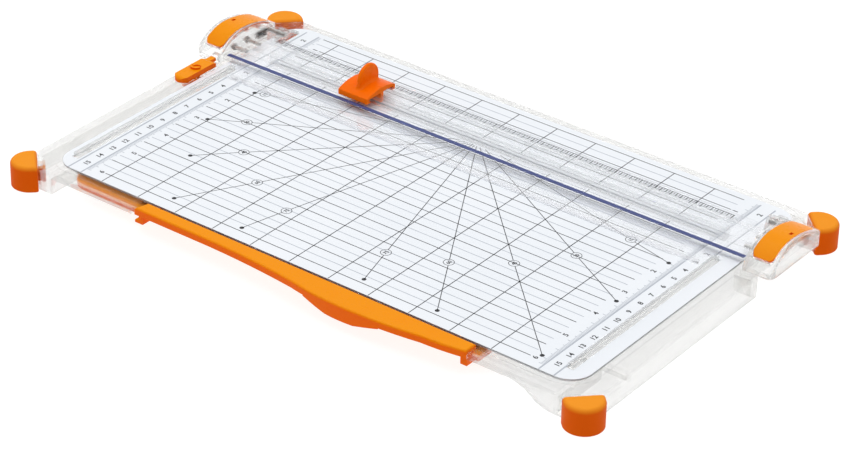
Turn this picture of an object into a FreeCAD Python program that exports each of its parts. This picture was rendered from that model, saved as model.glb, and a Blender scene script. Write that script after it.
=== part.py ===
import FreeCAD
import Part
import os
import re
import Sketcher

# Rail paper trimmer, in millimetres.
# +X runs along the cut to the right, +Y to the back, +Z up.
# The origin is the middle of the bounding box, at the soles of the feet.

Vector = FreeCAD.Vector

SIZES = {
    # base tray
    "base_width": 367.0, "base_depth": 219.5, "base_mid": 0.0, "corner_cut": 13.5,
    "deck_top": 14.2, "skirt_bottom": 1.5, "wall": 2.5, "plate": 3.2, "rim_round": 1.2,
    "face_gap": 0.05, "rib_height": 3.0, "rib_thick": 1.8, "rib_front": -70.875,
    "diagonal": 0.70711, "cut_line": 61.25,
    # printed panel and its recess
    "panel_thick": 1.2, "panel_half": 169.75, "panel_front": -98.675, "panel_rear": 103.95,
    "panel_corner": 13.0, "contour_gap": 4.5, "contour_line": 0.5, "slot_margin": 0.7,
    "strip_half": 4.0,
    # paper fences
    "fence_left": -162.75, "fence_right": 158.75, "fence_thick": 3.0, "fence_height": 2.4,
    "fence_front": -88.25, "fence_rear": 40.25,
    # side notches that the rail heads drop into
    "notch_x": 172.75, "notch_front": 40.25, "notch_rear": 96.25, "notch_wall": 2.0,
    # front notch and opening for the swing arm
    "bay_left": -104.2, "bay_right": 112.75, "bay_back": -99.675, "sweep_left": -160.75,
    "arch_start": 133.0, "arch_end": 164.5,
    # feet
    "foot_radius": 10.5, "foot_neck": 4.0, "foot_corner": 1.6, "foot_height": 14.7, "foot_round": 2.4,
    "foot_x": 176.75, "foot_y": 103.0, "tongue_low": 1.6, "tongue_top": 9.2,
    "tongue_half": 1.3, "tongue_gap": 0.1, "flange_half": 2.4, "flange_thick": 1.5,
    # rail
    "rail_half": 173.5, "rail_under": 14.7, "ledge_left": -160.25, "ledge_right": 156.25,
    "ledge_reach": 32.5, "ledge_top": 17.0, "strip_top": 17.8, "rail_rear": 18.2,
    "ridge_top": 21.0, "ridge_front": 10.6, "ridge_rear": 9.4, "slot_half": 1.6,
    "slot_end": 152.0, "flange_top": 17.2, "undercut": 0.9,
    # rail hinge
    "axis_back": 24.0, "axis_high": 17.4, "knuckle_radius": 3.0, "pin_radius": 1.3,
    "pin_clearance": 0.05, "pin_past_rail": 2.5, "knuckle_in": 168.0, "lug_in": 161.5, "lug_out": 166.5,
    # rail heads
    "head_out": 191.0, "head_front": 20.4, "head_rear": 28.5, "head_skin": 1.6,
    "head_drop": 1.0, "crest_high": 12.8, "crest_back": 1.0, "bow_front": 26.5, "bow_rear": 57.5,
    "inlay_in": 175.2, "inlay_out": 188.25, "inlay_front": 16.0, "inlay_rear": 25.5,
    "inlay_thick": 1.5, "inlay_gap": 0.12, "seat_round": 1.5, "inlay_round": 3.4,
    "head_corner": 4.5, "head_screw_depth": 8.0, "screw_radius": 1.0, "screw_cap_radius": 2.0,
    # carriage
    "carriage_mid": -83.6, "carriage_half": 10.15, "carriage_front": 13.0,
    "carriage_rear": 11.5, "lip_gap": 0.4, "hook_reach": 0.6, "leg_half": 1.2,
    "fin_half": 1.25, "fin_radius": 8.6, "fin_top": 21.3,
    # blade
    "blade_thick": 0.4, "blade_half": 4.6, "blade_top": 19.6, "blade_depth": 0.6,
    "pin_high": 17.6, "blade_pin_radius": 0.8,
    # swing arm
    "pivot_x": -142.75, "pivot_y": -92.75, "arm_half": 11.2, "arm_right": 116.0,
    "arm_top": 10.6, "arm_bottom": 8.2, "handle_left": -100.75, "handle_right": 111.5,
    "handle_back": -100.275, "handle_front": -108.575, "handle_reach": -115.675,
    "handle_arc": 42.9, "handle_round": 1.2, "handle_top": 14.7, "lip_bottom": 6.0, "lip_thick": 2.5,
    "leg_bottom": 5.4, "bulge_peak": 38.0, "bulge_left": 168.0, "bulge_right": 285.0,
    "shoulder_radius": 3.0, "washer_low": 7.5,
    # latch slider
    "latch_left": -180.2, "latch_right": -171.2, "latch_front": 8.325, "latch_rear": 35.525,
    "latch_high": 3.4, "thumb_y": 23.725,
}

PARTS_FOLDER = "parts"
doc = FreeCAD.newDocument("rail_trimmer")
sheet = doc.addObject("Spreadsheet::Sheet", "Sizes")
for row, (alias, number) in enumerate(SIZES.items(), start=1):
    cell = "A" + str(row)
    sheet.set(cell, str(number))
    sheet.setAlias(cell, alias)
doc.recompute()

nodes = []


# ---------------------------------------------------------------- helpers

def size(expression):
    """The number that an expression of sheet aliases stands for."""
    return float(sheet.evalExpression(str(expression)))


def linked(expression):
    """The same expression, written for an object that reads the sheet."""
    def add_sheet(match):
        word = match.group(0)
        return "Sizes." + word if word in SIZES else word
    return re.sub(r"[a-z_]+", add_sheet, str(expression))


def bind(target, attribute, expression):
    """Set a property from the sheet and keep it tied to the sheet."""
    target.setExpression(attribute, linked(expression))


def new_body(name):
    """A PartDesign body that is one node of the assembly."""
    body = doc.addObject("PartDesign::Body", name)
    body.Label = name
    nodes.append(body)
    return body


def new_sketch(body, name, plane, offset="0"):
    """A sketch on one of the body's own origin planes, moved along its normal."""
    sketch = body.newObject("Sketcher::SketchObject", name)
    support = [item for item in body.Origin.OriginFeatures if item.Role == plane + "_Plane"]
    sketch.AttachmentSupport = (support[0], [""])
    sketch.MapMode = "FlatFace"
    bind(sketch, "AttachmentOffset.Base.z", offset)
    return sketch


def hold(sketch, kind, element, position, expression):
    """Fix one coordinate of a sketch point to a sheet expression."""
    index = sketch.addConstraint(
        Sketcher.Constraint(kind, -1, 1, element, position, size(expression)))
    bind(sketch, "Constraints[%d]" % index, expression)


def add_outline(sketch, steps):
    """A closed outline. A step is the next corner (x, y) or an arc (via x, via y, x, y)."""
    here = steps[-1][-2:]
    elements = []
    for step in steps:
        first = Vector(size(here[0]), size(here[1]), 0)
        last = Vector(size(step[-2]), size(step[-1]), 0)
        if len(step) == 2:
            element = sketch.addGeometry(Part.LineSegment(first, last))
        else:
            via = Vector(size(step[0]), size(step[1]), 0)
            element = sketch.addGeometry(Part.Arc(first, via, last))
            passed = sketch.addGeometry(Part.Point(via), True)
            hold(sketch, "DistanceX", passed, 1, step[0])
            hold(sketch, "DistanceY", passed, 1, step[1])
            sketch.addConstraint(Sketcher.Constraint("PointOnObject", passed, 1, element))
        forward = sketch.getPoint(element, 1).distanceToPoint(first) < 1e-4
        begin, finish = (1, 2) if forward else (2, 1)
        elements.append((element, begin, finish))
        hold(sketch, "DistanceX", element, begin, here[0])
        hold(sketch, "DistanceY", element, begin, here[1])
        here = step[-2:]
    for index, (element, _, finish) in enumerate(elements):
        follower, begin, _ = elements[(index + 1) % len(elements)]
        sketch.addConstraint(
            Sketcher.Constraint("Coincident", element, finish, follower, begin))


def add_box_outline(sketch, left, front, right, back):
    """A rectangle between two corners."""
    add_outline(sketch, [(left, front), (right, front), (right, back), (left, back)])


def add_circle(sketch, across, along, radius):
    """A circle at a point, with a radius from the sheet."""
    centre = Vector(size(across), size(along), 0)
    circle = Part.Circle(centre, Vector(0, 0, 1), size(radius))
    element = sketch.addGeometry(circle)
    hold(sketch, "DistanceX", element, 3, across)
    hold(sketch, "DistanceY", element, 3, along)
    index = sketch.addConstraint(Sketcher.Constraint("Radius", element, size(radius)))
    bind(sketch, "Constraints[%d]" % index, radius)


def add_round_box(sketch, left, front, right, back, radius):
    """A rectangle with four equal round corners."""
    r_left = "(%s) + (%s)" % (left, radius)
    r_right = "(%s) - (%s)" % (right, radius)
    r_front = "(%s) + (%s)" % (front, radius)
    r_back = "(%s) - (%s)" % (back, radius)
    turn = "(%s) * (1 - diagonal)" % radius
    via_left = "(%s) + %s" % (left, turn)
    via_right = "(%s) - %s" % (right, turn)
    via_front = "(%s) + %s" % (front, turn)
    via_back = "(%s) - %s" % (back, turn)
    add_outline(sketch, [
        (r_right, front), (via_right, via_front, right, r_front),
        (right, r_back), (via_right, via_back, r_right, back),
        (r_left, back), (via_left, via_back, left, r_back),
        (left, r_front), (via_left, via_front, r_left, front)])


def pad(body, name, plane, offset, length, draw):
    """Add material: draw(sketch) fills the sketch, length runs along the plane's normal."""
    sketch = new_sketch(body, name + "_sketch", plane, offset)
    draw(sketch)
    feature = body.newObject("PartDesign::Pad", name)
    feature.Profile = sketch
    bind(feature, "Length", length)
    body.Tip = feature
    doc.recompute()
    return feature


def pocket(body, name, plane, offset, length, draw, reverse=False):
    """Remove material against the plane's normal, or along it when reversed."""
    before = body.Shape.Volume
    sketch = new_sketch(body, name + "_sketch", plane, offset)
    draw(sketch)
    feature = body.newObject("PartDesign::Pocket", name)
    feature.Profile = sketch
    bind(feature, "Length", length)
    feature.Reversed = reverse
    body.Tip = feature
    doc.recompute()
    if body.Shape.Volume >= before - 1e-6:
        raise ValueError("pocket " + name + " cuts nothing")
    return feature


def edges_where(shape, test):
    """Names of the edges whose middle point and direction pass a test."""
    names = []
    for index, edge in enumerate(shape.Edges, start=1):
        middle = edge.valueAt((edge.FirstParameter + edge.LastParameter) / 2)
        if test(edge, middle):
            names.append("Edge%d" % index)
    return names


def round_edges(body, name, radius, test):
    """Fillet the chosen edges of the body's newest feature."""
    base = body.Tip
    feature = body.newObject("PartDesign::Fillet", name)
    feature.Base = (base, edges_where(base.Shape, test))
    feature.Refine = False
    bind(feature, "Radius", radius)
    body.Tip = feature
    doc.recompute()
    if "Invalid" in feature.State or not body.Shape.isValid():
        raise ValueError("fillet " + name + " is not sound")
    return feature


def cylinder(name, radius, height, position, axis):
    """A Part cylinder tied to the sheet."""
    item = doc.addObject("Part::Cylinder", name)
    bind(item, "Radius", radius)
    bind(item, "Height", height)
    item.Placement.Rotation = FreeCAD.Rotation(Vector(0, 0, 1), axis)
    for letter, expression in zip("xyz", position):
        bind(item, "Placement.Base." + letter, expression)
    return item


def joined(name, pieces):
    """Several Part objects fused into one node."""
    fuse = doc.addObject("Part::MultiFuse", name)
    fuse.Label = name
    fuse.Shapes = pieces
    nodes.append(fuse)
    return fuse


HALF_WIDTH = "base_width / 2"
FRONT = "base_mid - base_depth / 2"
BACK = "base_mid + base_depth / 2"
PLATE_BOTTOM = "deck_top - plate"
PANEL_SEAT = "deck_top - panel_thick"
SIDES = {"left": -1, "right": 1}
ENDS = {"front": -1, "rear": 1}


# ---------------------------------------------------------------- base tray

def base_outline(sketch):
    """The tray seen from above, with its four cut corners."""
    half = HALF_WIDTH
    add_outline(sketch, [
        ("-(%s) + corner_cut" % half, FRONT),
        (half + " - corner_cut", FRONT), (half, FRONT + " + corner_cut"),
        (half, BACK + " - corner_cut"), (half + " - corner_cut", BACK),
        ("-(%s) + corner_cut" % half, BACK), ("-(%s)" % half, BACK + " - corner_cut"),
        ("-(%s)" % half, FRONT + " + corner_cut")])


def cavity_outline(sketch):
    """The hollow under the deck: it steps in round the two side notches."""
    inner = HALF_WIDTH + " - wall"
    cut = "corner_cut + 0.414 * wall"
    front = FRONT + " + wall"
    back = BACK + " - wall"
    step = "notch_x - notch_wall"
    step_front = "notch_front - notch_wall"
    step_back = "notch_rear + notch_wall"
    corner = "%s + %s - (%s) - (%s)" % (inner, BACK, cut, step_back)
    add_outline(sketch, [
        ("%s - (%s)" % (HALF_WIDTH, cut), front),
        (inner, "%s + %s" % (FRONT, cut)), (inner, step_front), (step, step_front),
        (step, step_back), (corner, step_back),
        ("%s - (%s)" % (HALF_WIDTH, cut), back), ("-(%s) + %s" % (HALF_WIDTH, cut), back),
        ("-(%s)" % corner, step_back), ("-(%s)" % step, step_back),
        ("-(%s)" % step, step_front), ("-(%s)" % inner, step_front),
        ("-(%s)" % inner, "%s + %s" % (FRONT, cut)), ("-(%s) + %s" % (HALF_WIDTH, cut), front)])


def notch_outlines(sketch):
    """Both side notches, open to the outside."""
    add_box_outline(sketch, "notch_x", "notch_front", HALF_WIDTH + " + 1", "notch_rear")
    add_box_outline(sketch, "-(%s) - 1" % HALF_WIDTH, "notch_front", "-notch_x", "notch_rear")


def sweep_outline(sketch):
    """The front skirt's opening for the swing arm, ending in an S-shaped arch."""
    low = "skirt_bottom - 1"
    add_outline(sketch, [
        ("sweep_left", low), ("arch_end", low), ("arch_end", "skirt_bottom"),
        ("arch_end - 8", "skirt_bottom + 1.5", "arch_end - 14.3", "skirt_bottom + 5.3"),
        ("arch_end - 21.5", "skirt_bottom + 8.8", "arch_start", PLATE_BOTTOM),
        ("sweep_left", PLATE_BOTTOM)])


def fence_outlines(sketch):
    """The two paper fences in front of the rail."""
    for middle in ("fence_left", "fence_right"):
        add_box_outline(sketch, middle + " - fence_thick / 2", "fence_front",
                        middle + " + fence_thick / 2", "fence_rear")


def lug_outline(sketch):
    """A hinge lug from the side, round over the pin."""
    axis = "cut_line + axis_back"
    add_outline(sketch, [
        (axis + " - 4.4", PANEL_SEAT + " - 0.2"),
        ("notch_rear", PANEL_SEAT + " - 0.2"), ("notch_rear", "deck_top + 1.4"),
        (axis + " + 3.6", "axis_high"),
        (axis, "axis_high + 3.6", axis + " - 3.6", "axis_high"),
        (axis + " - 4.4", "axis_high - 1.5")])


base = new_body("base_shell")
pad(base, "block", "XY", "skirt_bottom", "deck_top - skirt_bottom", base_outline)
round_edges(base, "rim", "rim_round",
            lambda edge, middle: middle.z > size("deck_top") - 0.01)
pocket(base, "hollow", "XY", "skirt_bottom", "deck_top - plate - skirt_bottom",
       cavity_outline, reverse=True)
pocket(base, "side_notches", "XY", "deck_top + 1", "deck_top", notch_outlines)
pocket(base, "arm_opening", "XZ", "-(%s) + 1" % FRONT, "wall + 1.5", sweep_outline)
pocket(base, "handle_bay", "XY", "deck_top + 1", "plate + 2",
       lambda sketch: add_box_outline(sketch, "bay_left", FRONT + " - 1", "bay_right", "bay_back"))
pocket(base, "panel_recess", "XY", "deck_top", "panel_thick + face_gap",
       lambda sketch: add_round_box(sketch, "-panel_half", "panel_front", "panel_half",
                                    "panel_rear", "panel_corner"))


def contour_outlines(sketch):
    """A fine moulded line that follows the panel's edge."""
    for grow, radius in (("contour_gap", "panel_corner + contour_gap"),
                         ("(contour_gap - contour_line)",
                          "panel_corner + contour_gap - contour_line")):
        add_round_box(sketch, "-panel_half - " + grow, "panel_front - " + grow,
                      "panel_half + " + grow, "panel_rear + " + grow, radius)


pocket(base, "contour", "XY", "deck_top", "0.3", contour_outlines)


def underside_outlines(sketch):
    """Ribs under the deck, behind the arm's swing."""
    for across in (-110, -55, 55, 110):
        add_box_outline(sketch, "%d - rib_thick / 2" % across, "rib_front",
                        "%d + rib_thick / 2" % across, BACK + " - wall")


def long_rib_outline(sketch):
    """One rib along the tray, at the front ends of the others."""
    add_box_outline(sketch, "-(%s) + wall" % HALF_WIDTH, "rib_front - rib_thick",
                    HALF_WIDTH + " - wall", "rib_front")


def pocket_wall_outlines(sketch):
    """Upright walls that close the front skirt at both sides of the arm opening."""
    add_box_outline(sketch, "sweep_left - 2.5", FRONT + " + wall", "sweep_left", "rib_front")
    add_box_outline(sketch, "arch_end - 1", FRONT + " + wall", "arch_end + 1", "rib_front")


pad(base, "ribs", "XY", PLATE_BOTTOM + " - rib_height", "rib_height + 0.5", underside_outlines)
pad(base, "long_rib", "XY", PLATE_BOTTOM + " - rib_height", "rib_height + 0.5", long_rib_outline)
pad(base, "pocket_walls", "XY", "skirt_bottom", PLATE_BOTTOM + " - skirt_bottom + 0.5",
    pocket_wall_outlines)
pad(base, "fences", "XY", PANEL_SEAT + " - 0.2", "panel_thick + fence_height + 0.2", fence_outlines)
for side, sign in SIDES.items():
    near = "lug_in" if sign > 0 else "-lug_out"
    pad(base, "lug_" + side, "YZ", near, "lug_out - lug_in", lug_outline)
    pocket(base, "lug_hole_" + side, "YZ", near + " - 1", "lug_out - lug_in + 2",
           lambda sketch: add_circle(sketch, "cut_line + axis_back", "axis_high", "pin_radius"),
           reverse=True)


def base_holes(sketch):
    """Holes through the deck: the arm's screw and the latch slot."""
    add_circle(sketch, "pivot_x", "pivot_y", "shoulder_radius / 2")
    add_box_outline(sketch, "latch_left + 2.8", "latch_front + 6.4",
                    "latch_left + 6.8", "latch_front + 21.4")


def corner_strip(sketch, across, along, half, near, far):
    """A strip square to a cut corner, between two depths behind the corner's face."""
    add_outline(sketch, [
        ("%d * (foot_x - diagonal * (%s)) + %d * diagonal * (%s)"
         % (across, depth, turn * along, half),
         "base_mid + %d * (foot_y - diagonal * (%s)) - %d * diagonal * (%s)"
         % (along, depth, turn * across, half))
        for turn, depth in ((-1, near), (1, near), (1, far), (-1, far))])


def foot_slots(sketch):
    """A slot in each cut corner's wall, open below, that a foot's tongue slides into."""
    for across in SIDES.values():
        for along in ENDS.values():
            corner_strip(sketch, across, along, "tongue_half + tongue_gap", "-1", "wall + 0.5")


pocket(base, "deck_holes", "XY", "deck_top + 1", "deck_top", base_holes)
pocket(base, "foot_slots", "XY", "skirt_bottom", "tongue_top + tongue_gap - skirt_bottom",
       foot_slots, reverse=True)


# ---------------------------------------------------------------- printed panel

panel = new_body("deck_panel")
pad(panel, "sheet", "XY", PANEL_SEAT, "panel_thick",
    lambda sketch: add_round_box(sketch, "-panel_half", "panel_front", "panel_half",
                                 "panel_rear", "panel_corner"))


def strip_outline(sketch):
    """The cutting strip seen from above."""
    add_box_outline(sketch, "-slot_end", "cut_line - strip_half", "slot_end", "cut_line + strip_half")


def panel_slots(sketch):
    """Clearance round the fences and lugs, and the seat of the cutting strip."""
    for middle in ("fence_left", "fence_right"):
        add_box_outline(sketch, middle + " - fence_thick / 2 - slot_margin",
                        "fence_front - slot_margin",
                        middle + " + fence_thick / 2 + slot_margin", "fence_rear + slot_margin")
    for near, far in (("lug_in", "lug_out"), ("-lug_out", "-lug_in")):
        add_box_outline(sketch, near + " - 0.5", "cut_line + axis_back - 5.2", far + " + 0.5",
                        "notch_rear + 0.6")
    strip_outline(sketch)


pocket(panel, "slots", "XY", "deck_top + 1", "3", panel_slots)

strip = new_body("cutting_strip")
pad(strip, "bar", "XY", PANEL_SEAT, "panel_thick", strip_outline)
pocket(strip, "groove", "XY", "deck_top", "panel_thick - 0.4",
       lambda sketch: add_box_outline(sketch, "-slot_end + 6", "cut_line - 0.5",
                                      "slot_end - 6", "cut_line + 0.5"))


# ---------------------------------------------------------------- feet

def make_foot(name, across, along):
    """A round-fronted foot outside a cut corner, held by a tongue with a flange inside the wall."""
    foot = new_body(name)

    def spot(sideways, outward):
        """A point beside and in front of the middle of the cut corner's face."""
        return ("%d * foot_x + diagonal * (%d * (%s) - %d * (%s))"
                % (across, across, outward, along, sideways),
                "base_mid + %d * foot_y + diagonal * (%d * (%s) + %d * (%s))"
                % (along, along, outward, across, sideways))

    def cap_outline(sketch):
        add_outline(sketch, [
            spot("foot_radius", "face_gap"), spot("foot_radius", "foot_neck"),
            spot("0", "foot_neck + foot_radius") + spot("-foot_radius", "foot_neck"),
            spot("-foot_radius", "face_gap")])

    def is_back_corner(edge, middle):
        """Whether an edge is upright and lies where the sides meet the flat back."""
        outward = (across * middle.x - size("foot_x")
                   + along * (middle.y - size("base_mid")) - size("foot_y"))
        upright = abs(edge.tangentAt(edge.FirstParameter).z) > 0.99
        return upright and outward < size("foot_neck")

    pad(foot, "cap", "XY", "0", "foot_height", cap_outline)
    round_edges(foot, "back_corners", "foot_corner", is_back_corner)
    round_edges(foot, "top_round", "foot_round",
                lambda edge, middle: middle.z > size("foot_height") - 0.01)
    inside = "wall + tongue_gap"
    pad(foot, "tongue", "XY", "tongue_low", "tongue_top - tongue_low",
        lambda sketch: corner_strip(sketch, across, along, "tongue_half", "-1", inside + " + 0.2"))
    pad(foot, "flange", "XY", "tongue_low", "tongue_top - tongue_low",
        lambda sketch: corner_strip(sketch, across, along, "flange_half", inside,
                                    inside + " + flange_thick"))


for end, along in ENDS.items():
    for side, across in SIDES.items():
        make_foot("foot_%s_%s" % (end, side), across, along)


# ---------------------------------------------------------------- rail

rail = new_body("rail_body")


def rail_section(sketch):
    """The rail from its end: navy step, two tracks with a blade slot, rear flange."""
    line = "cut_line"
    front_track = line + " - ridge_front"
    rear_track = line + " + ridge_rear"
    add_outline(sketch, [
        (line + " - 17", "rail_under"),
        (line + " + rail_rear", "rail_under"), (line + " + rail_rear", "flange_top + 0.9"),
        (line + " + rail_rear - 1.2", "flange_top + 0.9"),
        (line + " + rail_rear - 1.6", "flange_top"),
        (rear_track, "flange_top"), (rear_track, "ridge_top - 2.4"),
        (rear_track + " - undercut", "ridge_top - 2.4"),
        (rear_track + " - undercut", "ridge_top - 1.4"),
        (rear_track, "ridge_top - 1.4"), (rear_track, "ridge_top"),
        (line + " - slot_half - 3.4", "ridge_top"), (line + " - slot_half - 3.4", "ridge_top - 0.5"),
        (line + " - slot_half - 4.6", "ridge_top - 0.5"), (line + " - slot_half - 4.6", "ridge_top"),
        (front_track, "ridge_top"), (front_track, "ridge_top - 1.4"),
        (front_track + " + undercut", "ridge_top - 1.4"),
        (front_track + " + undercut", "ridge_top - 2.4"),
        (front_track, "ridge_top - 2.4"), (front_track, "strip_top"),
        (line + " - 16.6", "strip_top"), (line + " - 17", "ledge_top")])


def ledge_section(sketch):
    """The hold-down ledge from its end, with a bevelled front."""
    line = "cut_line"
    add_outline(sketch, [
        (line + " - ledge_reach", "rail_under"),
        (line + " - 16.9", "rail_under"), (line + " - 16.9", "ledge_top"),
        (line + " - ledge_reach + 2.6", "ledge_top"),
        (line + " - ledge_reach", "rail_under + 0.7")])


def knuckle_section(sketch):
    """A hinge knuckle and the web that carries it."""
    axis = "cut_line + axis_back"
    add_outline(sketch, [
        ("cut_line + rail_rear - 0.5", "rail_under"),
        (axis, "axis_high - knuckle_radius"),
        (axis + " + knuckle_radius", "axis_high", axis, "axis_high + knuckle_radius"),
        ("cut_line + rail_rear - 0.5", "flange_top + 0.9")])


pad(rail, "section", "YZ", "-rail_half", "2 * rail_half", rail_section)
pad(rail, "ledge", "YZ", "ledge_left", "ledge_right - ledge_left", ledge_section)
for side, sign in SIDES.items():
    near = "knuckle_in" if sign > 0 else "-rail_half"
    pad(rail, "knuckle_" + side, "YZ", near, "rail_half - knuckle_in", knuckle_section)
    pocket(rail, "knuckle_hole_" + side, "YZ", near + " - 1", "rail_half - knuckle_in + 2",
           lambda sketch: add_circle(sketch, "cut_line + axis_back", "axis_high",
                                     "pin_radius + pin_clearance"), reverse=True)
pocket(rail, "blade_slot", "XY", "ridge_top + 1", "ridge_top",
       lambda sketch: add_box_outline(sketch, "-slot_end", "cut_line - slot_half",
                                      "slot_end", "cut_line + slot_half"))


def marker_outline(margin):
    """A drawing of the alignment line along the rail's step, shrunk by a margin."""
    return lambda sketch: add_box_outline(
        sketch, "-rail_half + 2 + " + margin, "cut_line - 16 + " + margin,
        "rail_half - 2 - " + margin, "cut_line - 13.4 - " + margin)


def grip_outline(margin):
    """A drawing of the grip strip under the ledge's front edge, shrunk by a margin."""
    front = "cut_line - ledge_reach + 1.2 + "
    return lambda sketch: add_box_outline(
        sketch, "ledge_left + 3 + " + margin, front + margin,
        "ledge_right - 3 - " + margin, front + "3.2 - " + margin)


pocket(rail, "strip_seat", "XY", "strip_top", "0.5", marker_outline("0"))
pocket(rail, "grip_seat", "XY", "rail_under", "0.3", grip_outline("0"), reverse=True)

marker = new_body("alignment_strip")
pad(marker, "bar", "XY", "strip_top - 0.5 + face_gap", "0.5 - face_gap",
    marker_outline("face_gap"))

grip = new_body("grip_strip")
pad(grip, "bar", "XY", "rail_under - 0.35", "0.65 - face_gap", grip_outline("face_gap"))


# ---------------------------------------------------------------- rail heads

def span(sign, near, far):
    """Start and length along x of a stretch that lies at |x| from near to far."""
    start = "(%s)" % near if sign > 0 else "-(%s)" % far
    return start, "(%s) - (%s)" % (far, near)


def roof(along, drop):
    """Height of the head's arched roof, lowered by drop, at a distance behind the cut."""
    bow = "bow_rear" if size(along) > size("crest_back") else "bow_front"
    return "deck_top + crest_high - (%s) - %s + sqrt(%s ^ 2 - (%s - crest_back) ^ 2)" % (
        drop, bow, bow, along)


def roof_arcs(front, rear, drop):
    """Outline steps over the roof: an arc up to the crest and an arc down behind it."""
    steps = []
    for via, end in (("(%s + crest_back) / 2" % front, "crest_back"),
                     ("(%s + crest_back) / 2" % rear, rear)):
        steps.append(("cut_line + " + via, roof(via, drop), "cut_line + " + end, roof(end, drop)))
    return steps


def head_section(sketch):
    """The head from its end: arched over the top, flat underneath."""
    front = "cut_line - head_front"
    rear = "cut_line + head_rear"
    add_outline(sketch, [(front, roof("-head_front", "0"))]
        + roof_arcs("-head_front", "head_rear", "0")
        + [(rear, "deck_top - head_drop"), (front, "deck_top - head_drop")])


def seat_section(sketch):
    """The recess in the roof that the inlay fills."""
    front = "-inlay_front"
    rear = "inlay_rear"
    add_outline(sketch, [
        ("cut_line - inlay_front", "deck_top + 14"),
        ("cut_line - inlay_front", roof(front, "inlay_thick"))]
        + roof_arcs(front, rear, "inlay_thick")
        + [("cut_line + inlay_rear", "deck_top + 14")])


def inlay_section(sketch):
    """The inlay from its end: a strip as thick as its seat, following the roof."""
    front = "-inlay_front + inlay_gap"
    rear = "inlay_rear - inlay_gap"
    lower_front, lower_rear = roof_arcs(front, rear, "inlay_thick")
    corner = ("cut_line + " + front, roof(front, "inlay_thick"))
    add_outline(sketch, [("cut_line + " + front, roof(front, "0"))]
                + roof_arcs(front, rear, "0")
                + [lower_rear[2:], lower_rear[:2] + lower_front[2:], lower_front[:2] + corner])


def hollow_section(sketch):
    """The space inside the head, under its roof and open below."""
    front = "-head_front + head_skin"
    rear = "head_rear - head_skin"
    drop = "inlay_thick + 1.4"
    add_outline(sketch, [
        ("cut_line + " + front, "deck_top - 9"), ("cut_line + " + front, roof(front, drop))]
        + roof_arcs(front, rear, drop) + [("cut_line + " + rear, "deck_top - 9")])


CLIPS = ("-3.4", "6.6", "16.6")
HEAD_SCREWS = ("-5.5", "5.5")


def clip_outline(sign, along, margin):
    """A drawing of one clip under the inlay, seen from above."""
    near, length = span(sign, "inlay_in + 2.3 - " + margin, "inlay_in + 5.3 + " + margin)
    middle = "cut_line + " + along
    return lambda sketch: add_box_outline(
        sketch, near, "%s - 1 - %s" % (middle, margin),
        "%s + %s" % (near, length), "%s + 1 + %s" % (middle, margin))


def make_head(side, sign):
    """One rail head, hollow, with a seat for its inlay and a bore for the hinge pin."""
    head = new_body("rail_head_" + side)
    start, length = span(sign, "rail_half + face_gap", "head_out")
    outer_face = sign * size("head_out")
    pad(head, "shell", "YZ", start, length, head_section)
    round_edges(head, "plan_round", "head_corner", is_head_corner)
    round_edges(head, "outer_round", "1.3",
                lambda edge, middle: abs(middle.x - outer_face) < 0.01
                and middle.z > size("deck_top + 5"))
    start, length = span(sign, "inlay_in", "inlay_out")
    pocket(head, "inlay_seat", "YZ", start, length, seat_section, reverse=True)
    round_edges(head, "seat_corners", "seat_round", is_seat_corner)
    start, length = span(sign, "rail_half + head_skin", "head_out - head_skin")
    pocket(head, "hollow", "YZ", start, length, hollow_section, reverse=True)
    for number, along in enumerate(CLIPS):
        pocket(head, "clip_hole_%d" % number, "XY", "deck_top + 14", "12",
               clip_outline(sign, along, "0.1"))
    start, length = span(sign, "rail_half - 1", "rail_half + pin_past_rail + 0.2")
    pocket(head, "pin_bore", "YZ", start, length,
           lambda sketch: add_circle(sketch, "cut_line + axis_back", "axis_high",
                                     "pin_radius + pin_clearance"), reverse=True)
    pocket(head, "screw_bores", "YZ", start, length,
           head_screw_outlines("screw_radius + face_gap"), reverse=True)
    return head


def is_head_corner(edge, middle):
    """Whether an edge is one of the head's upright outer corners."""
    upright = abs(edge.tangentAt(edge.FirstParameter).z) > 0.99
    return upright and abs(abs(middle.x) - size("head_out")) < 0.01


def is_seat_corner(edge, middle):
    """Whether an edge is an upright corner of the inlay's seat or of the inlay."""
    upright = abs(edge.tangentAt(edge.FirstParameter).z) > 0.99
    across = (abs(abs(middle.x) - size("inlay_in")) < 0.3
              or abs(abs(middle.x) - size("inlay_out")) < 0.3)
    return upright and across and middle.z > size("deck_top + 3")


def head_screw_outlines(radius):
    """A drawing of the two screws that join a head to the rail's end."""
    def draw(sketch):
        for along in HEAD_SCREWS:
            add_circle(sketch, "cut_line + " + along, "rail_under + 3", radius)
    return draw


def inlay_corner_cuts(sign):
    """A drawing of what comes off the inlay's four corners, seen from above."""
    across_edges = (("inlay_in + inlay_gap", -1), ("inlay_out - inlay_gap", 1))
    along_edges = (("cut_line - inlay_front + inlay_gap", -1),
                   ("cut_line + inlay_rear - inlay_gap", 1))
    turn = "inlay_round * (1 - diagonal)"

    def draw(sketch):
        for edge_x, out_x in across_edges:
            for edge_y, out_y in along_edges:
                def inward(depth_x, depth_y):
                    return ("%d * (%s - %d * (%s))" % (sign, edge_x, out_x, depth_x),
                            "%s - %d * (%s)" % (edge_y, out_y, depth_y))
                add_outline(sketch, [
                    inward("inlay_round", "0"), inward(turn, turn) + inward("0", "inlay_round"),
                    inward("-1", "inlay_round"), inward("-1", "-1"), inward("inlay_round", "-1")])
    return draw


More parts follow.
